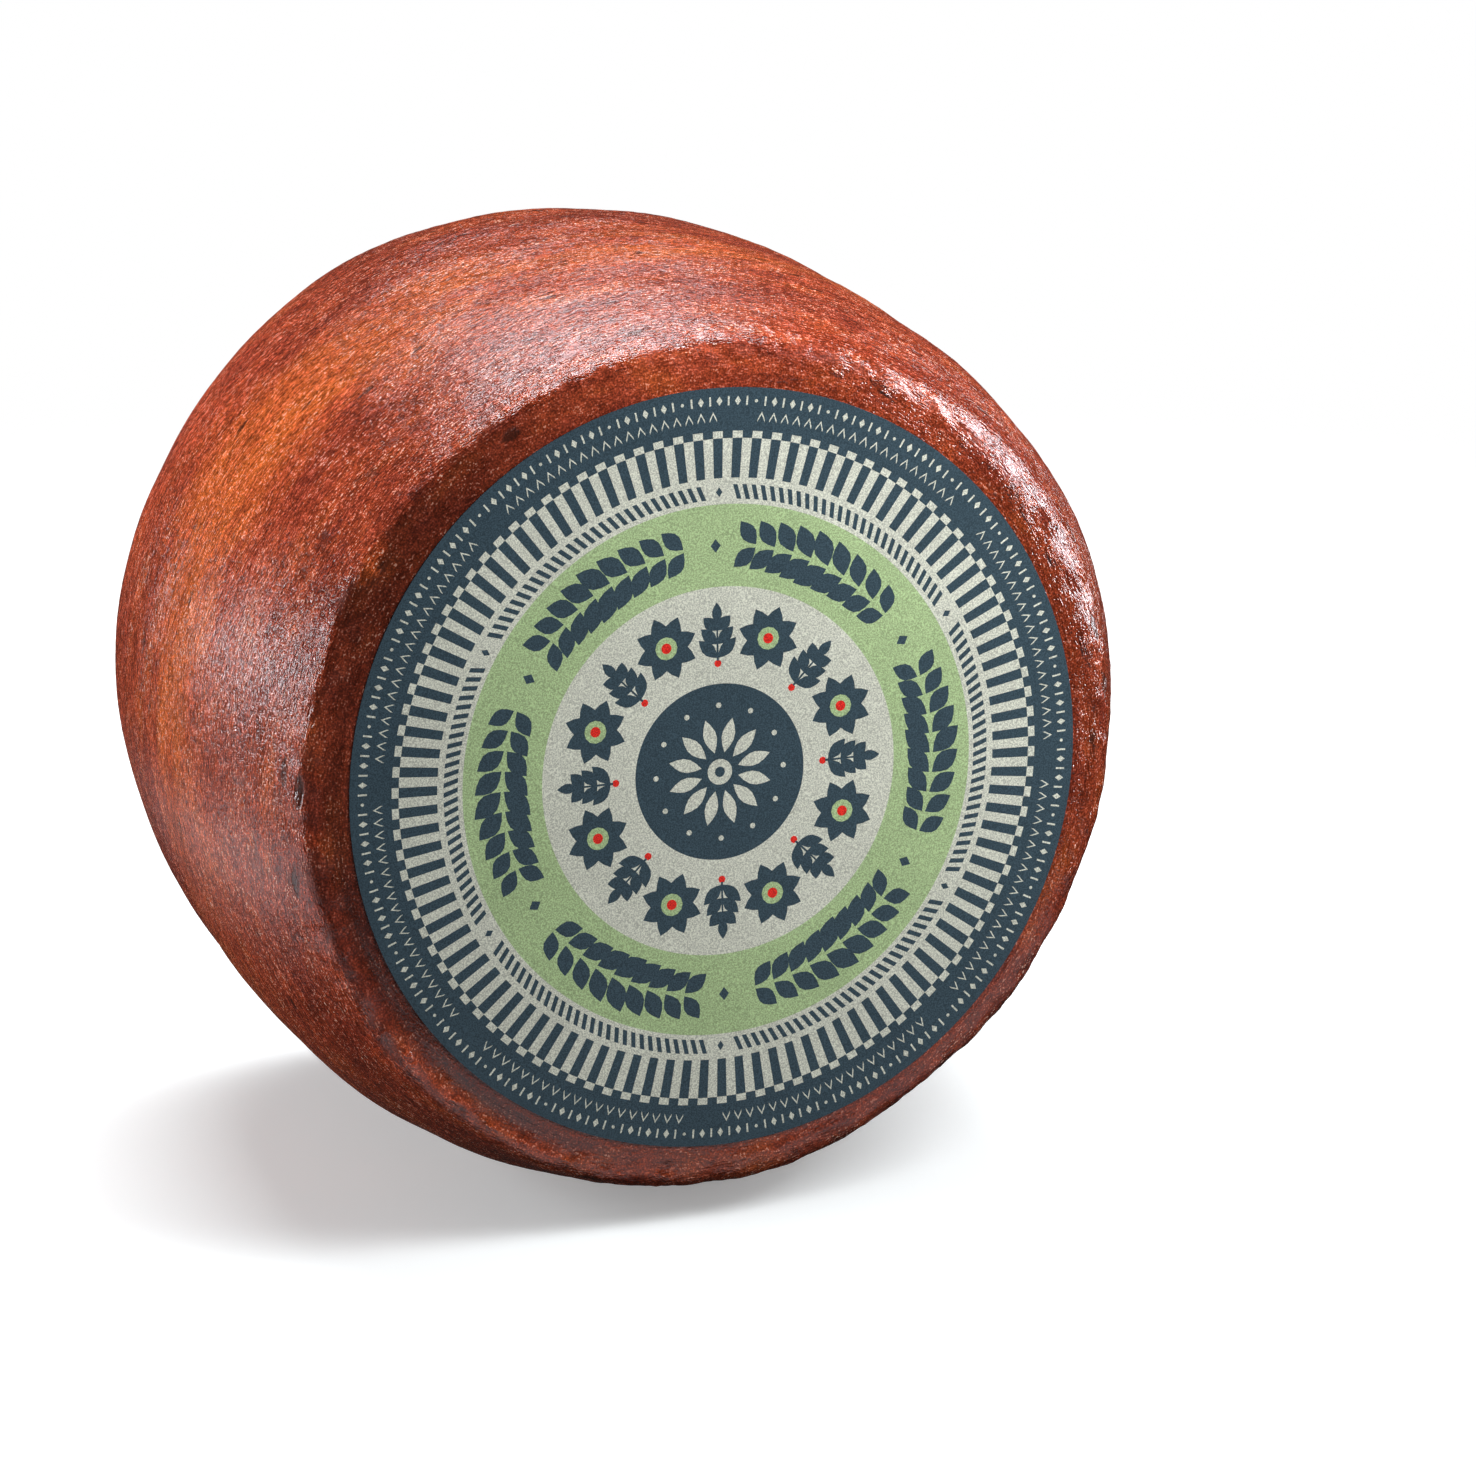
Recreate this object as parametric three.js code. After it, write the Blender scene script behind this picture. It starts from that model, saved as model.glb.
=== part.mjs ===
// A wheel of semi-aged goat cheese with a round paper label on one of its flat faces.
// It stands on its rim. Sizes are millimetres and +Z is up: the wheel's axis runs along Y, and the
// labelled face looks towards -Y. The origin is the middle of the underside of the bounding box,
// on the small flat spot that the wheel's own weight has pressed into the rind.

import * as THREE from 'three';

// The wheel: flat face to flat face, and its radius at the fullest part of the bulging side
const THICKNESS = 126;
const SIDE_RADIUS = 89;

// Standing on its rim, the soft young wheel has sagged: this much wider and lower all round
const SAG = 2.3;
const SAG_TILT = THREE.MathUtils.degToRad(3.4);

// Where side and flat face would meet in a sharp corner, and how fast the side falls away to it
const SHOULDER_RADIUS = 78;
const BULGE_POWER = 2.83;

// The shoulder round the labelled face is uneven: lobes, height in mm, angle of the first crest
const SHOULDER_LOBES = [
  [1, 1.1, 130],
  [2, 0.6, 29],
  [3, 0.55, 11],
  [4, 0.35, -14],
];

// The corner is rounded off over this length of the flat face, and this share of the half side
const EDGE_ON_FACE = 2.9;
const EDGE_ON_SIDE = 0.042;

// The mould was filled a little askew, so both faces lean back at the top and turn to the right
const FACE_LEAN = THREE.MathUtils.degToRad(3.0);
const FACE_TURN = THREE.MathUtils.degToRad(2.1);

// Soft hollows and swellings of the rind: wavelength, heading and pitch in degrees, height, start
const RIND_WAVES = [
  [104, 15, 30, 0.26, 0.4],
  [71, 118, -25, 0.22, 2.2],
  [49, 64, 48, 0.18, 4.1],
  [34, 155, 12, 0.14, 1.3],
  [24, 92, -52, 0.11, 5.2],
  [17, 33, 66, 0.08, 3.6],
];

// How deep the underside is pressed flat
const REST_DEPTH = 1.3;

// The paper label, the hair of room behind it, and the rim of plain rind that is flat round it
const LABEL_RADIUS = 70.6;
const LABEL_THICKNESS = 0.5;
const LABEL_GAP = 0.3;
const FLAT_RIM = 0.8;
const WAVE_FADE = 2.4;

// Steps round the wheel, across its side, over a rounded edge, and out across the bare back face
const STEPS_ROUND = 120;
const STEPS_SIDE = 19;
const STEPS_EDGE = 4;
const BACK_RINGS = [22, 44, 62];

const RIND_COLOUR = 0x8b3d24;
const PAPER_COLOUR = 0xcfcdbd;

// How far the sheared faces shift a point along the axis
function faceShift(x, z) {
  return Math.tan(FACE_LEAN) * z + Math.tan(FACE_TURN) * x;
}

// Radius of the fullest line round the side, and of the front or back shoulder, at an angle
function fullRadius(angle) {
  return SIDE_RADIUS + SAG * Math.cos(2 * (angle - SAG_TILT));
}

function shoulderRadius(angle, atFront) {
  if (!atFront) return SHOULDER_RADIUS;
  let radius = SHOULDER_RADIUS;
  for (const [lobes, height, crest] of SHOULDER_LOBES) {
    radius += height * Math.cos(lobes * (angle - THREE.MathUtils.degToRad(crest)));
  }
  return radius;
}

// A point of the bulging side: across runs from -1 at the front face to 1 at the back face
function sidePoint(angle, across) {
  const full = fullRadius(angle);
  const drop = full - shoulderRadius(angle, across < 0);
  return new THREE.Vector2(
    full - drop * Math.abs(across) ** BULGE_POWER,
    (across * THICKNESS) / 2,
  );
}

// The rounded edge between a flat face and the side, as a quadratic curve: share 0 on the face
function edgePoint(angle, end, share) {
  const corner = sidePoint(angle, end);
  const onFace = new THREE.Vector2(corner.x - EDGE_ON_FACE, corner.y);
  const onSide = sidePoint(angle, end * (1 - EDGE_ON_SIDE));
  return new THREE.QuadraticBezierCurve(onFace, corner, onSide).getPoint(share);
}

// The section of the wheel at an angle, from the labelled face round the side to the back face,
// as points of radius and distance along the axis
function section(angle) {
  const points = [];
  const faceRadius = LABEL_RADIUS + FLAT_RIM;
  const edgeStart = shoulderRadius(angle, true) - EDGE_ON_FACE;
  points.push(new THREE.Vector2(faceRadius, -THICKNESS / 2));
  points.push(new THREE.Vector2((faceRadius + edgeStart) / 2, -THICKNESS / 2));
  for (let i = 0; i <= STEPS_EDGE; i++) points.push(edgePoint(angle, -1, i / STEPS_EDGE));
  for (let i = 1; i < STEPS_SIDE; i++) {
    const across = (1 - EDGE_ON_SIDE) * ((2 * i) / STEPS_SIDE - 1);
    points.push(sidePoint(angle, across));
  }
  for (let i = STEPS_EDGE; i >= 0; i--) points.push(edgePoint(angle, 1, i / STEPS_EDGE));
  for (const radius of [...BACK_RINGS].reverse()) {
    points.push(new THREE.Vector2(radius, THICKNESS / 2));
  }
  return points;
}

// Height of the rind's slow unevenness at a point of the wheel
function rindHeight(point) {
  let height = 0;
  for (const [wavelength, heading, pitch, rise, start] of RIND_WAVES) {
    const along = new THREE.Vector3().setFromSphericalCoords(
      1,
      THREE.MathUtils.degToRad(90 - pitch),
      THREE.MathUtils.degToRad(heading),
    );
    height += rise * Math.sin((2 * Math.PI * point.dot(along)) / wavelength + start);
  }
  return height;
}

// Outward normal of a section at its point i, as radius and axis shares
function sectionNormal(points, i) {
  const before = points[Math.max(i - 1, 0)];
  const after = points[Math.min(i + 1, points.length - 1)];
  const along = after.clone().sub(before).normalize();
  return new THREE.Vector2(along.y, -along.x);
}

// One ring of points round the wheel for each point of the section
function wheelRings() {
  const rings = section(0).map(() => []);
  for (let step = 0; step < STEPS_ROUND; step++) {
    const angle = (2 * Math.PI * step) / STEPS_ROUND;
    const points = section(angle);
    points.forEach((flat, i) => {
      const normal = sectionNormal(points, i);
      const place = new THREE.Vector3(
        flat.x * Math.cos(angle),
        flat.y,
        flat.x * Math.sin(angle),
      );
      const outward = new THREE.Vector3(
        normal.x * Math.cos(angle),
        normal.y,
        normal.x * Math.sin(angle),
      );
      const beyondLabel = flat.x - LABEL_RADIUS - FLAT_RIM;
      const underLabel = 1 - THREE.MathUtils.smoothstep(beyondLabel, 0, WAVE_FADE);
      const fade = flat.y < 0 ? 1 - underLabel : 1;
      place.addScaledVector(outward, fade * rindHeight(place));
      place.y += faceShift(place.x, place.z);
      rings[i].push(place);
    });
  }
  return rings;
}

// Presses every point below the resting level up to it
function pressFlat(rings) {
  const lowest = Math.min(...rings.flat().map((point) => point.z));
  for (const point of rings.flat()) point.z = Math.max(point.z, lowest + REST_DEPTH);
}

// A closed skin over rings of equal length: strips between neighbours, and a fan over each end
function closedSkin(rings) {
  const points = rings.flat();
  const around = rings[0].length;
  const triangles = [];
  for (let ring = 0; ring + 1 < rings.length; ring++) {
    for (let step = 0; step < around; step++) {
      const next = (step + 1) % around;
      const a = ring * around + step;
      const b = ring * around + next;
      const c = a + around;
      const d = b + around;
      triangles.push(a, c, b, b, c, d);
    }
  }
  for (const end of [0, rings.length - 1]) {
    const middle = new THREE.Vector3();
    for (const point of rings[end]) middle.addScaledVector(point, 1 / around);
    const hub = points.push(middle) - 1;
    for (let step = 0; step < around; step++) {
      const a = end * around + step;
      const b = end * around + ((step + 1) % around);
      triangles.push(...(end === 0 ? [hub, a, b] : [hub, b, a]));
    }
  }
  const geometry = new THREE.BufferGeometry().setFromPoints(points);
  geometry.setIndex(triangles);
  geometry.computeVertexNormals();
  return geometry;
}

// The cheese itself, rind and all: one solid piece
function makeWheel() {
  const rings = wheelRings();
  pressFlat(rings);
  const rind = new THREE.MeshStandardMaterial({
    color: RIND_COLOUR,
    roughness: 0.4,
    metalness: 0,
    flatShading: true,
  });
  const wheel = new THREE.Mesh(closedSkin(rings), rind);
  wheel.name = 'wheel';
  return wheel;
}

// The round label: a flat disc of printed paper that follows the lean of the face behind it
function makeLabel() {
  const back = -THICKNESS / 2 - LABEL_GAP;
  const rings = [back - LABEL_THICKNESS, back].map((level) => {
    const ring = [];
    for (let step = 0; step < STEPS_ROUND; step++) {
      const angle = (2 * Math.PI * step) / STEPS_ROUND;
      const x = LABEL_RADIUS * Math.cos(angle);
      const z = LABEL_RADIUS * Math.sin(angle);
      ring.push(new THREE.Vector3(x, level + faceShift(x, z), z));
    }
    return ring;
  });
  const paper = new THREE.MeshStandardMaterial({
    color: PAPER_COLOUR,
    roughness: 0.85,
    metalness: 0,
  });
  const label = new THREE.Mesh(closedSkin(rings), paper);
  label.name = 'label';
  return label;
}

const cheese = new THREE.Group();
cheese.add(makeWheel(), makeLabel());

// The origin goes to the middle of the underside
const box = new THREE.Box3().setFromObject(cheese);
const middle = box.getCenter(new THREE.Vector3());
cheese.position.set(-middle.x, -middle.y, -box.min.z);

export default cheese;
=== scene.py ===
import math

import bpy
import numpy as np
from mathutils import Matrix, Vector, geometry, noise


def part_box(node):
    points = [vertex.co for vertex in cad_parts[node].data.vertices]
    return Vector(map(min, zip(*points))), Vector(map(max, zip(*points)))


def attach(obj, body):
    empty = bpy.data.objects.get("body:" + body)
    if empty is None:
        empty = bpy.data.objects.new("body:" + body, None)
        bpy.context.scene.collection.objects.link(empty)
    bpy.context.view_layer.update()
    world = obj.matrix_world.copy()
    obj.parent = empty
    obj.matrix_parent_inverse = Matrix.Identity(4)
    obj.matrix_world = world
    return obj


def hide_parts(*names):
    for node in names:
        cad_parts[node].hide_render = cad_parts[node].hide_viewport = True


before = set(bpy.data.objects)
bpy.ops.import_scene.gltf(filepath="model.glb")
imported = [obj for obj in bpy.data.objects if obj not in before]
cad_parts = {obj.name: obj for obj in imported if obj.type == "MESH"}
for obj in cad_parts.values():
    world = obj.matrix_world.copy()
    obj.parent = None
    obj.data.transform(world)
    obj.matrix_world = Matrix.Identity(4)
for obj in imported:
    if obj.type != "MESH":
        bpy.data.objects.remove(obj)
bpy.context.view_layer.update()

# The wheel of cheese: one uncut piece of semi-aged goat cheese, shaped in a round mould, with a
# thin and shiny reddish brown rind. It stands on its rim and has sagged a little into it.
# Everything here is worked out round the middle of the wheel, in metres.
MM = 0.001
THICKNESS = 126 * MM
SIDE_RADIUS = 89 * MM
SAG = 2.3 * MM
SAG_TILT = math.radians(3.4)
SHOULDER_RADIUS = 78 * MM
BULGE_POWER = 2.83
SHOULDER_LOBES = [
    (1, 1.1 * MM, math.radians(130)),
    (2, 0.6 * MM, math.radians(29)),
    (3, 0.55 * MM, math.radians(11)),
    (4, 0.35 * MM, math.radians(-14)),
]
EDGE_ON_FACE = 2.3 * MM
EDGE_ON_SIDE = 0.034
SOFT_EDGE_MIDDLE = math.radians(30)
SOFT_EDGE_SPREAD = math.radians(48)
SOFTER = 0.9
FACE_LEAN = math.radians(3.0)
FACE_TURN = math.radians(2.1)
RIND_WAVES = [
    (104, 15, 30, 0.26, 0.4),
    (71, 118, -25, 0.22, 2.2),
    (49, 64, 48, 0.18, 4.1),
    (34, 155, 12, 0.14, 1.3),
    (24, 92, -52, 0.11, 5.2),
    (17, 33, 66, 0.08, 3.6),
]
FLAT_RADIUS = 71.4 * MM
WAVE_FADE = 2.4 * MM
FACE_RISE = 0.4 * MM
FACE_RISE_END = 76 * MM
STEPS_ROUND = 560
BAND_STEPS = 8
EDGE_STEPS = 11
SIDE_STEPS = 118
BACK_EDGE_STEPS = 6
BACK_RINGS = 30
BACK_HUB = 3 * MM
UNDER_LABEL = 66 * MM
# From the plane of the front face to the middle of the label's thickness
LABEL_STANDOFF = 0.55 * MM

label_low, label_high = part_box("label")
label_radius = (label_high.x - label_low.x) / 2
label_middle = (label_low + label_high) / 2
centre = Vector((label_middle.x, label_middle.y + THICKNESS / 2 + LABEL_STANDOFF, label_middle.z))


def face_shift(x, z):
    """How far the leaning faces shift a point along the axis."""
    return math.tan(FACE_LEAN) * z + math.tan(FACE_TURN) * x


def shoulder_radius(angle, at_front):
    """Where side and face would meet in a sharp corner. The front shoulder is uneven."""
    radius = np.full_like(angle, SHOULDER_RADIUS)
    if at_front:
        for lobes, height, crest in SHOULDER_LOBES:
            radius += height * np.cos(lobes * (angle - crest))
    return radius


def swell(distance, spread):
    """A soft bump: 1 at no distance, fading away over the spread."""
    return np.exp(-((distance / spread) ** 2))


def swell_round(angle, middle, spread):
    """The same bump round the wheel, at an angle."""
    return swell(np.angle(np.exp(1j * (angle - middle))), spread)


def edge_size(angle):
    """How much the front shoulder is rounded off: it is crisp, but softer on the right."""
    return 1 + SOFTER * swell_round(angle, SOFT_EDGE_MIDDLE, SOFT_EDGE_SPREAD)


def side_point(angle, across, at_front):
    """A point of the bulging side: across runs from -1 at the front face to 1 at the back."""
    full = SIDE_RADIUS + SAG * np.cos(2 * (angle - SAG_TILT))
    drop = full - shoulder_radius(angle, at_front)
    return full - drop * np.abs(across) ** BULGE_POWER, np.full_like(angle, across * THICKNESS / 2)


def edge_point(angle, at_front, share):
    """A point of the rounded shoulder: share runs from 0 on the face to 1 on the side."""
    end = -1 if at_front else 1
    size = edge_size(angle) if at_front else 1
    corner, depth = side_point(angle, end, at_front)
    on_side, side_depth = side_point(angle, end * (1 - EDGE_ON_SIDE * size), at_front)
    face_part, corner_part, side_part = (1 - share) ** 2, 2 * share * (1 - share), share**2
    radius = face_part * (corner - EDGE_ON_FACE * size) + corner_part * corner + side_part * on_side
    return radius, (face_part + corner_part) * depth + side_part * side_depth


def wheel_section(angle):
    """The rows of the wheel's skin, from under the label round the side to the back."""
    front = np.full_like(angle, -THICKNESS / 2)
    edge_start = shoulder_radius(angle, True) - EDGE_ON_FACE * edge_size(angle)
    rows = [(np.full_like(angle, UNDER_LABEL), front)]
    for step in range(BAND_STEPS):
        share = step / BAND_STEPS
        rows.append((FLAT_RADIUS + share * (edge_start - FLAT_RADIUS), front))
    rows += [edge_point(angle, True, step / EDGE_STEPS) for step in range(EDGE_STEPS + 1)]
    for step in range(1, SIDE_STEPS):
        share = step / SIDE_STEPS
        start, end = EDGE_ON_SIDE * edge_size(angle) - 1, 1 - EDGE_ON_SIDE
        rows.append(side_point(angle, start + (end - start) * share, share < 0.5))
    rows += [edge_point(angle, False, step / BACK_EDGE_STEPS) for step in range(BACK_EDGE_STEPS, -1, -1)]
    back_start = SHOULDER_RADIUS - EDGE_ON_FACE
    for ring in range(1, BACK_RINGS + 1):
        radius = back_start + (BACK_HUB - back_start) * ring / BACK_RINGS
        rows.append((np.full_like(angle, radius), -front))
    return np.array([radius for radius, _ in rows]), np.array([depth for _, depth in rows])


def smooth(value, low, high):
    """A smooth step, from 0 at the low value to 1 at the high one."""
    share = np.clip((value - low) / (high - low), 0, 1)
    return share * share * (3 - 2 * share)


def slow_waves(points):
    """The same soft hollows and swellings that the solid has."""
    height = np.zeros(points.shape[:2])
    for length, heading, pitch, rise, start in RIND_WAVES:
        turn, climb = math.radians(heading), math.radians(pitch)
        along = np.array(
            (math.cos(climb) * math.sin(turn), math.sin(climb), math.cos(climb) * math.cos(turn))
        )
        height += rise * MM * np.sin(2 * math.pi * (points @ along) / (length * MM) + start)
    return height


DENT_SIZE = 14 * MM
DENT_DEPTH = 0.16 * MM
WRINKLE_SIZE = 3.6 * MM
WRINKLE_DEPTH = 0.13 * MM
RIPPLE_PITCH = 1.9 * MM
RIPPLE_DEPTH = 0.045 * MM
PEBBLE_SIZE = 2.2 * MM
PEBBLE_DEPTH = 0.10 * MM
LIP_SIZE = 4 * MM
LIP_DEPTH = 0.42 * MM
LIP_START = 73 * MM
LIP_END = 76 * MM
SWAY_SIZE = 9 * MM
SMOOTH_SIDE = math.radians(185)


def fine_relief(points, angle, radius, depth):
    """Dents and pebbling all over, leathery wrinkles that grow towards the front shoulder, an uneven
    lip along the shoulder's edge, and faint ripples that run round the side. The left of the wheel
    has less of the wrinkles and the pebbling."""
    across = depth / (THICKNESS / 2)
    near_front = smooth(-across, 0.35, 0.95)
    leathery = 1 - 0.75 * smooth(np.cos(angle - SMOOTH_SIDE), 0.1, 0.8)
    edge = smooth(radius, LIP_START, LIP_END) * smooth(-across, 0.86, 0.97)
    relief = np.zeros(radius.shape)
    for (row, step), front in np.ndenumerate(near_front):
        place = Vector(points[row, step])
        dent = noise.noise(place / DENT_SIZE)
        wrinkle = 1 - 2 * abs(noise.noise(place / WRINKLE_SIZE + Vector((7, 3, 5))))
        wrinkle += 0.6 * noise.noise(place / (0.45 * WRINKLE_SIZE))
        sway = noise.noise(place / SWAY_SIZE + Vector((2, 9, 4)))
        pebble = noise.noise(place / PEBBLE_SIZE + Vector((5, 6, 2)))
        ripple = math.sin((depth[row, step] + radius[row, step]) * 2 * math.pi / RIPPLE_PITCH + 5 * sway)
        lip = noise.noise(place / LIP_SIZE + Vector((4, 1, 8)))
        relief[row, step] = (
            DENT_DEPTH * dent
            + WRINKLE_DEPTH * (0.3 + 0.7 * front) * leathery[row, step] * (wrinkle - 0.6)
            + PEBBLE_DEPTH * pebble * leathery[row, step]
            + RIPPLE_DEPTH * ripple * (0.2 + 0.8 * front) * max(0, sway + 0.3)
            + LIP_DEPTH * lip * edge[row, step]
        )
    return relief


# The marks of the front shoulder begin and are full this far forward of the middle of the wheel
NEAR_SHOULDER = (52 * MM, 58 * MM)
RIDGE_MIDDLE = math.radians(222)
RIDGE_SPREAD = math.radians(34)
RIDGE_HEIGHT = 0.50 * MM
RIDGE_INSET = 0.6 * MM
RIDGE_WIDTH = 2.8 * MM
GROOVE_DEPTH = 0.42 * MM
GROOVE_INSET = 5.2 * MM
GROOVE_WIDTH = 2.6 * MM


def shoulder_ridge(angle, radius, depth):
    """At the lower left the face is dished and the shoulder stands up round it as a low ridge."""
    here = swell_round(angle, RIDGE_MIDDLE, RIDGE_SPREAD) * smooth(-depth, *NEAR_SHOULDER)
    start = shoulder_radius(angle, True)
    ridge = swell(radius - start + RIDGE_INSET, RIDGE_WIDTH)
    groove = swell(radius - start + GROOVE_INSET, GROOVE_WIDTH)
    return here * (RIDGE_HEIGHT * ridge - GROOVE_DEPTH * groove)


RAGGED_SIZE = 4.5 * MM
RAGGEDNESS = 0.9


def ragged(points, out):
    """The way the surface faces, made uneven, so that the finish and its painted shade change along a
    ragged line.
    """
    uneven = np.zeros(out.shape)
    for row, step in np.ndindex(out.shape):
        place = Vector(points[row, step])
        broad = noise.noise(place / RAGGED_SIZE)
        uneven[row, step] = broad + 0.5 * noise.noise(place / (0.4 * RAGGED_SIZE))
    return out + RAGGEDNESS * uneven


# How light the finish is at an angle round the wheel, in degrees, on the face and on the side. The
# values were chosen by comparing mean colours of renders with the photograph at about these
# angles, so they hold some of its light and shade as well.
# Painted light and shade: the face is lightest at the top and darkest at the upper left.
FACE_TONE_LIGHT_AND_SHADE = [
    (10, 0.78),
    (30, 0.72),
    (50, 1.00),
    (70, 1.02),
    (90, 1.38),
    (112, 1.00),
    (130, 0.56),
    (150, 0.43),
    (170, 0.90),
    (190, 0.62),
    (210, 0.64),
    (230, 0.76),
    (250, 0.76),
    (300, 0.80),
]
RIDGE_PAINTED_SHEEN = 0.4
GROOVE_PAINTED_SHADE = 0.3
# Painted light and shade as well: the side is lighter on the left and darkest underneath.
SIDE_TONE_LIGHT_AND_SHADE = [
    (60, 0.88),
    (100, 0.95),
    (120, 0.92),
    (140, 1.10),
    (165, 1.15),
    (192, 1.18),
    (215, 0.98),
    (240, 0.68),
    (270, 0.45),
    (315, 0.65),
]
FAR_PALENESS = 0.5
FAR_PALE_MIDDLE = math.radians(148)
FAR_PALE_SPREAD = math.radians(20)
FAR_START = 10 * MM
FAR_END = 35 * MM


def tone_light_and_shade(angle, out, radius, depth):
    """How light the finish is, with painted shade at the upper left of the face, underneath and in the
    groove, a painted sheen along the ridge, and paler far back at the upper left."""
    degrees = np.degrees(angle)
    on_face = np.interp(degrees, *zip(*FACE_TONE_LIGHT_AND_SHADE), period=360)
    on_side = np.interp(degrees, *zip(*SIDE_TONE_LIGHT_AND_SHADE), period=360)
    face = (1 - smooth(out, 0.25, 0.8)) * (depth < 0)
    ridge = shoulder_ridge(angle, radius, depth)
    # A painted sheen on the crest of the ridge, and painted shade in the groove.
    pale = RIDGE_PAINTED_SHEEN * np.maximum(ridge, 0) / RIDGE_HEIGHT
    pale += GROOVE_PAINTED_SHADE * np.minimum(ridge, 0) / GROOVE_DEPTH
    far = smooth(depth, FAR_START, FAR_END) * swell_round(angle, FAR_PALE_MIDDLE, FAR_PALE_SPREAD)
    on_side = on_side + FAR_PALENESS * far
    return on_side + (on_face - on_side) * face + pale


ORANGE_MIDDLE = math.radians(143)
ORANGE_SPREAD = math.radians(46)
ORANGE_DEPTH = 13 * MM
ORANGE_WIDTH = 17 * MM


def warmth(angle, depth):
    """Where the finish is more orange: in a band round the side, most of all at the upper left."""
    round_share = 0.25 + 0.75 * swell_round(angle, ORANGE_MIDDLE, ORANGE_SPREAD)
    return round_share * swell(depth + ORANGE_DEPTH, ORANGE_WIDTH)


LEATHERY_SIDE = math.radians(28)
PITTED_DEPTH = 60 * MM
PITTED_WIDTH = 5 * MM
PITTED_START = 74 * MM
PITTED_END = 77 * MM


def facing(radius, depth):
    """The way the plain skin faces: its share away from the axis, and its share along it."""
    slope_out, slope_in = np.gradient(depth, axis=0), np.gradient(radius, axis=0)
    length = np.hypot(slope_out, slope_in)
    out, along = slope_out / length, -slope_in / length
    out[0], along[0] = 0, -1
    out[-1], along[-1] = 0, 1
    return out, along


def skin_points(angle, radius, depth, out, along):
    """The points of the skin in their place, with all its relief. It is plain behind the label."""
    points = np.stack((radius * np.cos(angle), depth, radius * np.sin(angle)), axis=2)
    outward = np.stack((out * np.cos(angle), along, out * np.sin(angle)), axis=2)
    on_front = depth < 0
    bare = np.where(on_front, smooth(radius, FLAT_RADIUS, FLAT_RADIUS + WAVE_FADE), 1)
    relief = slow_waves(points) + fine_relief(points, angle, radius, depth)
    relief += shoulder_ridge(angle, radius, depth)
    rise = FACE_RISE * (1 - smooth(radius, FLAT_RADIUS, FACE_RISE_END))
    height = bare * relief + np.where(on_front, rise, 0)
    points = points + height[..., None] * outward
    points[..., 1] += face_shift(points[..., 0], points[..., 2])
    points += np.array(centre)
    points[..., 2] = np.maximum(points[..., 2], 0)
    return points


def skin_mesh(points):
    """A closed skin over the rows of points: strips between them, and a fan over each end."""
    corners = points.reshape(-1, 3).tolist()
    rows = len(points)
    faces = []
    for row in range(rows - 1):
        for step in range(STEPS_ROUND):
            after = (step + 1) % STEPS_ROUND
            a, b = row * STEPS_ROUND + step, row * STEPS_ROUND + after
            faces.append((a, a + STEPS_ROUND, b + STEPS_ROUND, b))
    for row, at_back in ((0, False), (rows - 1, True)):
        hub = len(corners)
        corners.append(points[row].mean(axis=0).tolist())
        for step in range(STEPS_ROUND):
            a = row * STEPS_ROUND + step
            b = row * STEPS_ROUND + (step + 1) % STEPS_ROUND
            faces.append((hub, b, a) if at_back else (hub, a, b))
    mesh = bpy.data.meshes.new("wheel_rind")
    mesh.from_pydata(corners, [], faces)
    mesh.shade_smooth()
    return mesh


def finish_masks(points, angle, radius, depth, out):
    """The values that tell the rind's material where its finish, painted light and shade go."""
    on_front = depth < 0
    ragged_out = np.where((out > 0.01) & (out < 0.97), ragged(points, out), out)
    masks = {"tone_light_and_shade": tone_light_and_shade(angle, ragged_out, radius, depth), "warmth": warmth(angle, depth)}
    masks["face"] = (1 - smooth(ragged_out, 0.15, 0.75)) * on_front
    on_right = smooth(np.cos(angle - LEATHERY_SIDE), 0.35, 0.85) * on_front
    masks["leathery"] = (1 - smooth(out, 0.10, 0.45)) * on_right
    masks["worn"] = smooth(out, 0.15, 0.5) * on_right * smooth(-depth, *NEAR_SHOULDER)
    pitted = swell(depth + PITTED_DEPTH, PITTED_WIDTH)
    masks["shoulder"] = pitted * smooth(radius, PITTED_START, PITTED_END)
    return masks


def make_wheel():
    turn = np.arange(STEPS_ROUND) * 2 * math.pi / STEPS_ROUND
    radius, depth = wheel_section(turn)
    angle = np.broadcast_to(turn, radius.shape)
    out, along = facing(radius, depth)
    points = skin_points(angle, radius, depth, out, along)
    mesh = skin_mesh(points)
    for name, values in finish_masks(points, angle, radius, depth, out).items():
        layer = mesh.attributes.new(name, "FLOAT", "POINT")
        ends = [values[0].mean(), values[-1].mean()]
        layer.data.foreach_set("value", np.concatenate((values.ravel(), ends)).astype(np.float32))
    wheel = bpy.data.objects.new("wheel_rind", mesh)
    bpy.context.scene.collection.objects.link(wheel)
    return wheel


def add_node(tree, kind, inputs=None, **settings):
    """A new shader node. Its inputs are given by name or number, each a value or another's output."""
    made = tree.nodes.new(kind)
    for name, value in settings.items():
        setattr(made, name, value)
    for name, value in (inputs or {}).items():
        if isinstance(value, bpy.types.NodeSocket):
            tree.links.new(value, made.inputs[name])
        else:
            made.inputs[name].default_value = value
    return made


def math_node(tree, operation, *values):
    return add_node(tree, "ShaderNodeMath", dict(enumerate(values)), operation=operation).outputs[0]


def mix_colours(tree, share, first, second, blend="MIX"):
    """Blends two colours. In a mix node of colours, sockets 6 and 7 are the colours."""
    made = add_node(
        tree,
        "ShaderNodeMix",
        {0: share, 6: first, 7: second},
        data_type="RGBA",
        blend_type=blend,
    )
    return made.outputs[2]


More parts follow.
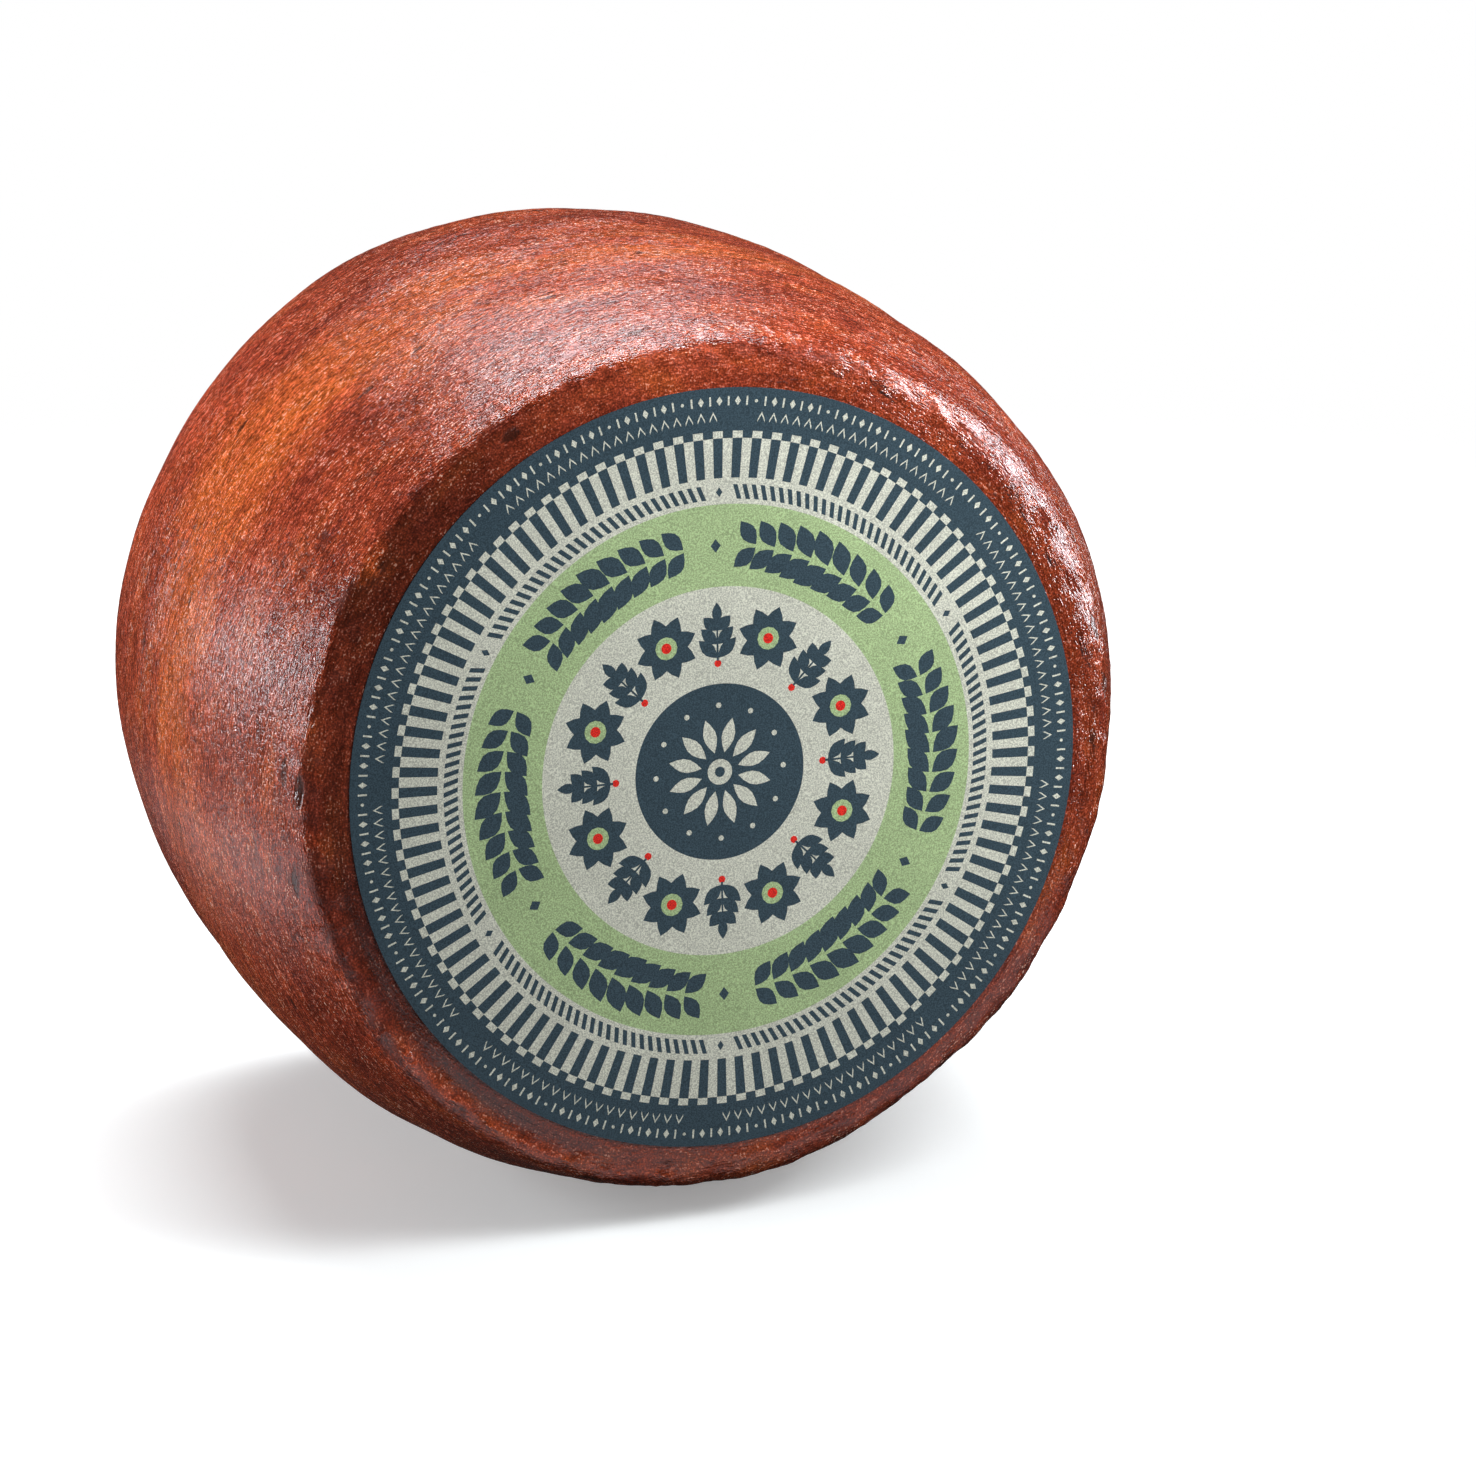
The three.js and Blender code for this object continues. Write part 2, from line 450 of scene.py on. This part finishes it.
def ramp(tree, factor, stops):
    """A colour ramp. Each stop is a place and a colour, or a grey value."""
    made = add_node(tree, "ShaderNodeValToRGB", {0: factor})
    points = made.color_ramp.elements
    while len(points) < len(stops):
        points.new(1)
    for point, (place, colour) in zip(points, stops):
        point.position = place
        point.color = (*colour, 1) if isinstance(colour, tuple) else (colour, colour, colour, 1)
    return made.outputs[0]


def noise_node(tree, vector, size, detail=3, roughness=0.5):
    """Soft noise whose lumps are about half of size metres wide."""
    inputs = {"Vector": vector, "Scale": 1 / size, "Detail": detail, "Roughness": roughness}
    return add_node(tree, "ShaderNodeTexNoise", inputs).outputs[0]


CALM_MIDDLE = 55 * MM


def round_the_wheel():
    """Turns a place into coordinates that follow the wheel: stretched round its axis, and unrolled
    over the shoulder, so that noise read at them makes streaks round the side and the faces. In
    the middle of a face they no longer turn, so that nothing is squeezed there."""
    tree = bpy.data.node_groups.new("round the wheel", "ShaderNodeTree")
    tree.interface.new_socket("Place", in_out="INPUT", socket_type="NodeSocketVector")
    tree.interface.new_socket("Stretch", in_out="INPUT", socket_type="NodeSocketFloat")
    tree.interface.new_socket("Round", in_out="OUTPUT", socket_type="NodeSocketVector")
    given = add_node(tree, "NodeGroupInput")
    place = add_node(
        tree, "ShaderNodeVectorMath", {0: given.outputs[0], 1: tuple(-centre)}, operation="ADD"
    )
    parts = add_node(tree, "ShaderNodeSeparateXYZ", {0: place.outputs[0]})
    x, y, z = parts.outputs
    flat = add_node(tree, "ShaderNodeCombineXYZ", {0: x, 2: z})
    length_node = add_node(tree, "ShaderNodeVectorMath", {0: flat.outputs[0]}, operation="LENGTH")
    radius = length_node.outputs["Value"]
    length = math_node(tree, "DIVIDE", SIDE_RADIUS, given.outputs[1])
    turn_radius = math_node(tree, "MAXIMUM", radius, CALM_MIDDLE)
    round_x = math_node(tree, "MULTIPLY", math_node(tree, "DIVIDE", x, turn_radius), length)
    round_z = math_node(tree, "MULTIPLY", math_node(tree, "DIVIDE", z, turn_radius), length)
    across = math_node(tree, "ADD", y, radius)
    joined = add_node(tree, "ShaderNodeCombineXYZ", {0: round_x, 1: across, 2: round_z})
    add_node(tree, "NodeGroupOutput", {0: joined.outputs[0]})
    return tree


BAND_STRETCH = 2.4
STREAK_STRETCH = 3.6
BAND_SIZE = 17 * MM
PATCH_SIZE = 5.5 * MM
MOTTLE_SIZE = 2.4 * MM
LEATHER_SIZE = 0.9 * MM
STREAK_SIZE = 0.44 * MM
SPECKLE_SIZE = 0.34 * MM
PIT_SPACING = 8 * MM
DARK_FINISH = (0.20, 0.028, 0.012)
RED_FINISH = (0.29, 0.044, 0.015)
ORANGE_FINISH = (0.49, 0.101, 0.018)
PIT_COLOUR = (0.030, 0.010, 0.006, 1)
# The colour of the pale flecks, which are partly painted glints.
FLECK_AND_GLINT_COLOUR = (0.86, 0.64, 0.50, 1)
WHITE = (1, 1, 1, 1)
COARSE_RELIEF = 0.13 * MM
FINE_RELIEF = 0.25 * MM


def rind_material():
    """The rind's finish: bands, patches and fine streaks that follow the wheel, pale flecks that are
    partly real specks and partly painted glints, and small dark pits. It is glossy on the side, and
    duller on the face but for its leathery right."""
    material = bpy.data.materials.new("rind")
    material.use_nodes = True
    tree = material.node_tree
    shader = tree.nodes["Principled BSDF"]
    place = add_node(tree, "ShaderNodeTexCoord").outputs["Object"]
    wheel_coordinates = round_the_wheel()

    def stretched(stretch):
        made = add_node(tree, "ShaderNodeGroup", {}, node_tree=wheel_coordinates)
        tree.links.new(place, made.inputs["Place"])
        made.inputs["Stretch"].default_value = stretch
        return made.outputs[0]

    def mask(name):
        return add_node(tree, "ShaderNodeAttribute", attribute_name=name).outputs["Fac"]

    band_place = stretched(BAND_STRETCH)
    streak_place = stretched(STREAK_STRETCH)
    bands = noise_node(tree, band_place, BAND_SIZE, detail=3, roughness=0.55)
    patches = noise_node(tree, band_place, PATCH_SIZE, detail=3, roughness=0.6)
    mottle = noise_node(tree, band_place, MOTTLE_SIZE, detail=3, roughness=0.65)
    streaks = noise_node(tree, streak_place, STREAK_SIZE, detail=1, roughness=0.6)
    leather = noise_node(tree, band_place, LEATHER_SIZE, detail=2, roughness=0.6)
    speckle = noise_node(tree, place, SPECKLE_SIZE, detail=0)
    leathery = mask("leathery")
    on_side = math_node(tree, "SUBTRACT", 1, mask("face"))

    warm = math_node(tree, "MULTIPLY_ADD", mask("warmth"), 0.55, bands)
    warm = math_node(tree, "MULTIPLY_ADD", patches, 1.1, warm)
    colour = ramp(
        tree,
        math_node(tree, "SUBTRACT", warm, 0.87),
        [(0.02, DARK_FINISH), (0.28, RED_FINISH), (0.90, ORANGE_FINISH)],
    )
    streak_shade = ramp(tree, streaks, [(0.38, 0.62), (0.5, 0.97), (0.62, 1.85)])
    streak_share = math_node(tree, "MULTIPLY_ADD", on_side, 0.6, 0.4)
    # The grain multiplies the colour, and so does the tone mask, which holds painted light and shade.
    for shade in (
        ramp(tree, mottle, [(0.34, 0.80), (0.5, 1.0), (0.66, 1.15)]),
        mix_colours(tree, streak_share, WHITE, streak_shade),
        ramp(tree, speckle, [(0.35, 0.68), (0.5, 0.98), (0.65, 1.62)]),
        mask("tone_light_and_shade"),
    ):
        colour = mix_colours(tree, 1.0, colour, shade, "MULTIPLY")
    # Pale flecks, partly real specks and partly painted glints, where streaks and speckle both run high.
    fleck_and_glint = math_node(tree, "MULTIPLY", streaks, speckle)
    fleck_and_glint = ramp(tree, fleck_and_glint, [(0.38, 0.0), (0.43, 0.9)])
    fleck_and_glint = math_node(tree, "MULTIPLY", fleck_and_glint, ramp(tree, patches, [(0.40, 0.15), (0.60, 1.0)]))
    fleck_and_glint = math_node(tree, "MULTIPLY", fleck_and_glint, streak_share)
    colour = mix_colours(tree, fleck_and_glint, colour, FLECK_AND_GLINT_COLOUR)

    cells = add_node(tree, "ShaderNodeTexVoronoi", {"Vector": band_place, "Scale": 1 / PIT_SPACING})
    reach = math_node(tree, "MULTIPLY_ADD", mask("shoulder"), 0.10, 0.12)
    from_middle = math_node(tree, "MULTIPLY_ADD", leather, 0.14, cells.outputs["Distance"])
    from_middle = math_node(tree, "DIVIDE", math_node(tree, "SUBTRACT", from_middle, 0.06), reach)
    pit = math_node(tree, "SUBTRACT", 1, from_middle)
    pit = ramp(tree, pit, [(0.0, 0.0), (0.35, 1.0)])
    colour = mix_colours(tree, math_node(tree, "MULTIPLY", pit, 0.72), colour, PIT_COLOUR)
    tree.links.new(colour, shader.inputs["Base Color"])

    gloss = ramp(tree, mottle, [(0.35, 0.16), (0.65, 0.26)])
    dull = math_node(tree, "SUBTRACT", mask("face"), math_node(tree, "MULTIPLY", leathery, 1.5))
    gloss = math_node(tree, "MULTIPLY_ADD", dull, 0.10, gloss)
    gloss = math_node(tree, "MULTIPLY_ADD", mask("worn"), -0.08, gloss)
    tree.links.new(gloss, shader.inputs["Roughness"])
    shader.inputs["Specular IOR Level"].default_value = 0.5

    rough_skin = math_node(tree, "MULTIPLY_ADD", mask("worn"), 0.4, leathery)
    rough_share = math_node(tree, "MULTIPLY_ADD", rough_skin, 4.0, 1.0)
    height = math_node(tree, "MULTIPLY", leather, streak_share)
    height = math_node(tree, "MULTIPLY", height, rough_share)
    height = math_node(tree, "SUBTRACT", height, math_node(tree, "MULTIPLY", pit, 0.8))
    coarse = add_node(
        tree,
        "ShaderNodeBump",
        {"Height": height, "Distance": COARSE_RELIEF, "Strength": 1.0},
    )
    speckle_share = math_node(tree, "MULTIPLY_ADD", leathery, 0.4, 0.3)
    grain = math_node(tree, "MULTIPLY_ADD", speckle, speckle_share, streaks)
    fine_height = math_node(tree, "MULTIPLY", grain, streak_share)
    calm = math_node(tree, "MULTIPLY_ADD", mask("worn"), -0.6, 1.0)
    strength = math_node(tree, "MULTIPLY_ADD", leathery, 0.7, calm)
    fine_height = math_node(tree, "MULTIPLY", fine_height, strength)
    fine = add_node(
        tree,
        "ShaderNodeBump",
        {"Height": fine_height, "Distance": FINE_RELIEF, "Strength": 1.0, "Normal": coarse.outputs[0]},
    )
    tree.links.new(fine.outputs[0], shader.inputs["Normal"])
    return material


wheel = make_wheel()
wheel.data.materials.append(rind_material())
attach(wheel, "root")
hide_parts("wheel")

# The label: a disc of thin uncoated paper glued flat to the front face. It is printed in dark blue
# and light green, with a little red, on its own cream colour. Rings of plain fields, bars and
# squares frame a wreath, a ring of rosettes and sprigs, and a flower in the middle.
LABEL_BACK = 0.45 * MM
LABEL_FRONT = 0.65 * MM
CREAM, NAVY, GREEN, RED = range(4)
BARS = 102
FIRST_BAR = math.radians(2.77 - 360 / (4 * BARS))
# Sizes and places in the print are shares of the label's radius
CENTRE_EDGE = 0.2325
GREEN_INNER = 0.486
GREEN_OUTER = 0.700
BAR_INNER = 0.7675
BAR_OUTER = 0.870
CHECK_OUTER = 0.8885
CHEVRON_ROW = 0.926
MARK_ROW = 0.966
ROPE_ROW = 0.7315
WREATH_ROW = 0.593
ROSETTE_ROW = 0.366


def at(radius, angle):
    return (radius * math.cos(angle), radius * math.sin(angle))


def disc(radius):
    """A disc whose corners are the corners of the bars, so that their edges meet."""
    return [at(radius, FIRST_BAR + math.pi * step / BARS) for step in range(2 * BARS)]


def dot(place, radius, sides=12):
    x, y = place
    turns = [2 * math.pi * side / sides for side in range(sides)]
    return [(x + radius * math.cos(turn), y + radius * math.sin(turn)) for turn in turns]


def ring_piece(inner, outer, start, end):
    return [at(inner, start), at(outer, start), at(outer, end), at(inner, end)]


def turned(outline, place, angle):
    """Moves an outline drawn round the origin to a place and turns it."""
    cosine, sine = math.cos(angle), math.sin(angle)
    return [(place[0] + x * cosine - y * sine, place[1] + x * sine + y * cosine) for x, y in outline]


def leaf(length, width, steps=5):
    """A pointed leaf from the origin along the first axis."""
    shares = [step / steps for step in range(steps + 1)]
    rise = [(length * share, width / 2 * math.sin(math.pi * share)) for share in shares]
    return rise + [(x, -y) for x, y in rise[-2:0:-1]]


def diamond(length, width):
    return [(length / 2, 0), (0, width / 2), (-length / 2, 0), (0, -width / 2)]


def bars_and_squares():
    """The dark rim, and inside it a ring of small squares and a ring of bars on a cream field."""
    shapes = [(disc(1), NAVY)]
    half = math.pi / BARS
    for bar in range(BARS):
        start = FIRST_BAR + 2 * bar * half
        shapes.append((ring_piece(BAR_INNER, BAR_OUTER, start, start + half), CREAM))
        shapes.append((ring_piece(BAR_OUTER, CHECK_OUTER, start + half, start + 2 * half), CREAM))
    shapes.append((disc(BAR_INNER), CREAM))
    return shapes


def outer_marks():
    """Two fine rows on the dark rim: small chevrons, and strokes, diamonds and dots in turn."""
    shapes = []
    chevron = [(-0.014, -0.010), (0.006, 0), (-0.014, 0.010)]
    chevron += [(-0.007, 0.010), (0.013, 0), (-0.007, -0.010)]
    chevrons = 176
    group = 22
    shown = 19
    for count in range(chevrons):
        if count % group < shown:
            angle = 2 * math.pi * count / chevrons
            shapes.append((turned(chevron, at(CHEVRON_ROW, angle), angle), CREAM))
    stroke = [(-0.012, -0.0024), (0.012, -0.0024), (0.012, 0.0024), (-0.012, 0.0024)]
    marks = 240
    for count in range(marks):
        angle = 2 * math.pi * (count + 0.3) / marks
        if count % 8 == 7:
            shapes.append((dot(at(MARK_ROW, angle), 0.0045, 8), CREAM))
        elif count % 2 == 0:
            shapes.append((turned(stroke, at(MARK_ROW, angle), angle), CREAM))
        else:
            shapes.append((turned(diamond(0.024, 0.016), at(MARK_ROW, angle), angle), CREAM))
    return shapes


def rope():
    """Slanted strokes like a twisted cord on the narrow cream ring, with a diamond at each break."""
    shapes = []
    strokes = 186
    group = 31
    break_place = 15
    for count in range(strokes):
        angle = 2 * math.pi * count / strokes
        if count % group == break_place:
            shapes.append((turned(diamond(0.026, 0.018), at(ROPE_ROW, angle), angle), NAVY))
        elif abs(count % group - break_place) > 1:
            stroke = [(0.019, 0.0130), (0.019, 0.0005), (-0.019, -0.0130), (-0.019, -0.0005)]
            shapes.append((turned(stroke, at(ROPE_ROW, angle), angle), NAVY))
    return shapes


def wreath():
    """Six garlands of paired leaves on the green ring, with a diamond between them."""
    shapes = [(disc(GREEN_OUTER), GREEN), (disc(GREEN_INNER), CREAM)]
    garlands = 6
    pairs = 9
    middle_pair = (pairs - 1) / 2
    first_pair = math.radians(8.5)
    pair_step = math.radians(5.1)
    leaf_lean = 0.82
    for garland in range(garlands):
        start = 2 * math.pi * garland / garlands + math.radians(90)
        shapes.append((turned(diamond(0.036, 0.028), at(WREATH_ROW, start), start), NAVY))
        for pair in range(pairs):
            angle = start + first_pair + pair_step * pair
            size = 1 - 0.22 * abs(pair - middle_pair) / middle_pair
            along = angle + math.pi / 2
            for side in (-1, 1):
                outline = leaf(0.098 * size, 0.056 * size)
                base = at(WREATH_ROW + side * 0.004, angle)
                shapes.append((turned(outline, base, along - side * leaf_lean), NAVY))
    return shapes


def rosettes():
    """Rosettes and sprigs in turn on the inner cream ring."""
    shapes = []
    count = 8
    first = math.radians(67.5)
    rung_step = 0.036
    leaf_lean = 0.80
    for turn in range(count):
        angle = 2 * math.pi * turn / count + first
        middle = at(ROSETTE_ROW, angle)
        for petal in range(8):
            heading = angle + math.pi * petal / 4
            shapes.append((turned(leaf(0.086, 0.050), middle, heading), NAVY))
        shapes.append((dot(middle, 0.030), GREEN))
        shapes.append((dot(middle, 0.014), RED))
        between = angle + math.pi / count
        for side in (-1, 1):
            for rung in range(3):
                base = at(0.300 + rung_step * rung, between)
                outline = leaf(0.072 - 0.010 * rung, 0.034)
                shapes.append((turned(outline, base, between + side * leaf_lean), NAVY))
        shapes.append((turned(leaf(0.058, 0.028), at(0.388, between), between), NAVY))
        shapes.append((dot(at(0.286, between), 0.010, 8), RED))
        stem = [(-0.003, -0.003), (0.11, -0.002), (0.11, 0.002), (-0.003, 0.003)]
        shapes.append((turned(stem, at(0.296, between), between), NAVY))
    return shapes


def middle_flower():
    shapes = [(disc(CENTRE_EDGE), NAVY)]
    petals = 12
    for petal in range(petals):
        angle = 2 * math.pi * (petal + 0.5) / petals
        shapes.append((turned(leaf(0.092, 0.036), at(0.052, angle), angle), CREAM))
        shapes.append((dot(at(0.176, angle + math.pi / petals), 0.0075, 8), CREAM))
    shapes.append((dot((0, 0), 0.034, 20), CREAM))
    shapes.append((dot((0, 0), 0.014, 12), NAVY))
    return shapes


def printed_shapes():
    """All the print in painting order: what comes later covers what is under it."""
    return bars_and_squares() + outer_marks() + rope() + wreath() + rosettes() + middle_flower()


def counterclockwise(outline):
    pairs = zip(outline, outline[1:] + outline[:1])
    area = sum(x * next_y - next_x * y for (x, y), (next_x, next_y) in pairs)
    return outline if area > 0 else outline[::-1]


def make_label():
    """The paper disc. Its front is cut along every outline, and each cut piece has one ink."""
    shapes = printed_shapes()
    places = []
    outlines = []
    for outline, _ in shapes:
        outlines.append(list(range(len(places), len(places) + len(outline))))
        places += [Vector(place) for place in counterclockwise(outline)]
    inside_only = 1
    tolerance = 1e-6
    cut = geometry.delaunay_2d_cdt(places, [], outlines, inside_only, tolerance)
    flat_places, _, triangles, _, _, covers = cut
    inks = [shapes[max(cover)][1] for cover in covers]
    corners = []
    for level in (LABEL_FRONT, LABEL_BACK):
        for place in flat_places:
            x, z = place.x * label_radius, place.y * label_radius
            corners.append((x, -THICKNESS / 2 - level + face_shift(x, z), z))
    corners = [tuple(Vector(corner) + centre) for corner in corners]
    faces = [tuple(triangle) for triangle in triangles]
    rim = [index for index, place in enumerate(flat_places) if place.length > 0.999]
    rim.sort(key=lambda index: math.atan2(flat_places[index].y, flat_places[index].x))
    behind = len(flat_places)
    for index, corner in enumerate(rim):
        after = rim[(index + 1) % len(rim)]
        faces.append((corner, corner + behind, after + behind, after))
        inks.append(NAVY)
    faces.append(tuple(corner + behind for corner in rim))
    inks.append(CREAM)
    mesh = bpy.data.meshes.new("label_paper")
    mesh.from_pydata(corners, [], faces)
    mesh.polygons.foreach_set("material_index", inks)
    label = bpy.data.objects.new("label_paper", mesh)
    bpy.context.scene.collection.objects.link(label)
    return label


SPECK_SIZE = 0.26 * MM
CLOUD_SIZE = 14 * MM
PAPER_RELIEF = 0.02 * MM


def paper_grain():
    """The grain of uncoated paper: a shade that varies from speck to speck, and a fine relief."""
    tree = bpy.data.node_groups.new("paper grain", "ShaderNodeTree")
    tree.interface.new_socket("Ink", in_out="INPUT", socket_type="NodeSocketColor")
    tree.interface.new_socket("Colour", in_out="OUTPUT", socket_type="NodeSocketColor")
    tree.interface.new_socket("Height", in_out="OUTPUT", socket_type="NodeSocketFloat")
    given = add_node(tree, "NodeGroupInput")
    place = add_node(tree, "ShaderNodeTexCoord").outputs["Object"]
    specks = noise_node(tree, place, SPECK_SIZE, detail=1)
    clouds = noise_node(tree, place, CLOUD_SIZE, detail=3)
    shade = ramp(tree, specks, [(0.35, 0.72), (0.65, 1.28)])
    soft = ramp(tree, clouds, [(0.35, 0.965), (0.65, 1.03)])
    colour = mix_colours(tree, 1.0, given.outputs[0], shade, "MULTIPLY")
    colour = mix_colours(tree, 1.0, colour, soft, "MULTIPLY")
    add_node(tree, "NodeGroupOutput", {0: colour, 1: specks})
    return tree


def ink_material(name, colour, grain):
    material = bpy.data.materials.new(name)
    material.use_nodes = True
    tree = material.node_tree
    shader = tree.nodes["Principled BSDF"]
    paper = add_node(tree, "ShaderNodeGroup", {}, node_tree=grain)
    paper.inputs["Ink"].default_value = (*colour, 1)
    relief = {"Height": paper.outputs["Height"], "Distance": PAPER_RELIEF}
    bump = add_node(tree, "ShaderNodeBump", relief)
    tree.links.new(paper.outputs["Colour"], shader.inputs["Base Color"])
    tree.links.new(bump.outputs[0], shader.inputs["Normal"])
    shader.inputs["Roughness"].default_value = 0.85
    shader.inputs["Specular IOR Level"].default_value = 0.25
    return material


label = make_label()
grain = paper_grain()
INKS = [
    ("cream paper", (0.70, 0.71, 0.60)),
    ("navy ink", (0.046, 0.078, 0.100)),
    ("green ink", (0.45, 0.595, 0.30)),
    ("red ink", (0.85, 0.03, 0.02)),
]
for name, colour in INKS:
    label.data.materials.append(ink_material(name, colour, grain))
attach(label, "root")
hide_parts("label")

# The surroundings: a plain pale floor that fades into a white background, and soft lights as in
# a studio. The floor shows to the camera alone, so that the underside of the wheel stays dark.
# Some of the lights only light the wheel, and the others show only in its gloss.
FLOOR_REACH = 1.4
FADE_START = 0.34
FADE_END = 0.62
FLOOR_GLOW = 0.26
FLOOR_COLOUR = (0.87, 0.9, 0.9, 1)
ROOM_LIGHT = (0.17, 0.17, 0.175, 1)
ROOM_IN_GLOSS = (0.02, 0.02, 0.02, 1)
CARD_HEIGHT = 2 * MM
SOFTBOX_COLOURS = {"light": (0.97, 0.985, 1.0), "gloss": (0.88, 0.93, 1.0)}


def make_floor():
    mesh = bpy.data.meshes.new("floor")
    side = FLOOR_REACH
    corners = [(-side, -side, 0), (side, -side, 0), (side, side, 0), (-side, side, 0)]
    mesh.from_pydata(corners, [], [(0, 1, 2, 3)])
    floor = bpy.data.objects.new("floor", mesh)
    bpy.context.scene.collection.objects.link(floor)
    material = bpy.data.materials.new("floor")
    material.use_nodes = True
    tree = material.node_tree
    shader = tree.nodes["Principled BSDF"]
    shader.inputs["Base Color"].default_value = FLOOR_COLOUR
    shader.inputs["Roughness"].default_value = 1.0
    shader.inputs["Specular IOR Level"].default_value = 0.0
    place = add_node(tree, "ShaderNodeTexCoord").outputs["Object"]
    distance = add_node(tree, "ShaderNodeVectorMath", {0: place}, operation="LENGTH").outputs["Value"]
    fade = add_node(
        tree,
        "ShaderNodeMapRange",
        {"Value": distance, "From Min": FADE_START, "From Max": FADE_END, "To Min": 1, "To Max": 0},
        interpolation_type="SMOOTHSTEP",
    )
    tree.links.new(fade.outputs[0], shader.inputs["Alpha"])
    shader.inputs["Emission Color"].default_value = WHITE
    shader.inputs["Emission Strength"].default_value = FLOOR_GLOW
    mesh.materials.append(material)
    floor.visible_glossy = False
    floor.visible_diffuse = False
    return floor


def softbox(name, toward, distance, width, height, power, kind):
    """A soft rectangular light that faces the wheel from a direction. Its kind says what it does:
    it lights the wheel, or it shows in the wheel's gloss."""
    lamp = bpy.data.lights.new(name, "AREA")
    lamp.shape = "RECTANGLE"
    lamp.size = width
    lamp.size_y = height
    lamp.energy = power
    lamp.color = SOFTBOX_COLOURS[kind]
    stand = bpy.data.objects.new(name, lamp)
    direction = Vector(toward).normalized()
    stand.location = centre + distance * direction
    stand.rotation_euler = direction.to_track_quat("Z", "Y").to_euler()
    stand.visible_camera = False
    stand.visible_glossy = kind == "gloss"
    stand.visible_diffuse = kind == "light"
    bpy.context.scene.collection.objects.link(stand)
    return stand


def floor_card(name, x, y, width, height, power):
    """A lit card that lies just over the floor and shows in the wheel's gloss alone."""
    card = softbox(name, (0, 0, -1), CARD_HEIGHT, width, height, power, "gloss")
    card.location = (x, y, CARD_HEIGHT)
    card.rotation_euler = (math.pi, 0, 0)


def make_background():
    """White to the camera, dim in the gloss, and a soft even light on everything else."""
    world = bpy.data.worlds.new("background")
    world.use_nodes = True
    tree = world.node_tree
    path = add_node(tree, "ShaderNodeLightPath").outputs
    colour = mix_colours(tree, path["Is Glossy Ray"], ROOM_LIGHT, ROOM_IN_GLOSS)
    colour = mix_colours(tree, path["Is Camera Ray"], colour, WHITE)
    tree.links.new(colour, tree.nodes["Background"].inputs["Color"])
    bpy.context.scene.world = world


floor = make_floor()
make_background()
softbox("top light", (0.08, 0.34, 0.93), 0.95, 0.75, 0.6, 12, "light")
softbox("left light", (-0.96, 0.24, 0.17), 1.0, 0.7, 0.7, 8.2, "light")
softbox("right light", (0.93, -0.22, 0.28), 0.9, 0.30, 0.55, 3, "light")
softbox("near light", (0.56, -0.58, 0.62), 0.34, 0.2, 0.2, 1.0, "light")
softbox("top gloss", (0.03, 0.34, 0.94), 0.95, 0.70, 0.34, 17, "gloss")
softbox("left gloss", (-0.93, 0.34, 0.11), 1.0, 0.32, 0.30, 6.5, "gloss")
softbox("right gloss", (0.94, -0.06, 0.33), 0.8, 0.15, 0.62, 11, "gloss")
floor_card("card in front", 0.03, -0.135, 0.26, 0.11, 0.10)
floor_card("card on the left", -0.22, 0.0, 0.16, 0.34, 0.22)
bpy.context.scene.view_settings.view_transform = "Standard"

# The camera looks slightly down on the wheel from its left, from 1.1 metres away.
VIEW_TURN = math.radians(-19.48)
VIEW_RISE = math.radians(16.21)
VIEW_DISTANCE = 1112.5 * MM
VIEW_RIGHT = 24.52 * MM
VIEW_UP = -10.6 * MM
LENS = 141.41
SENSOR_WIDTH = 36

back = Vector(
    (
        math.sin(VIEW_TURN) * math.cos(VIEW_RISE),
        -math.cos(VIEW_TURN) * math.cos(VIEW_RISE),
        math.sin(VIEW_RISE),
    )
)
right = Vector((math.cos(VIEW_TURN), math.sin(VIEW_TURN), 0))
up = back.cross(right)
lens = bpy.data.cameras.new("camera")
lens.lens = LENS
lens.sensor_width = SENSOR_WIDTH
camera = bpy.data.objects.new("camera", lens)
camera.matrix_world = Matrix.Translation(
    centre + VIEW_DISTANCE * back + VIEW_RIGHT * right + VIEW_UP * up
) @ Matrix((right, up, back)).transposed().to_4x4()
bpy.context.scene.collection.objects.link(camera)
bpy.context.scene.camera = camera
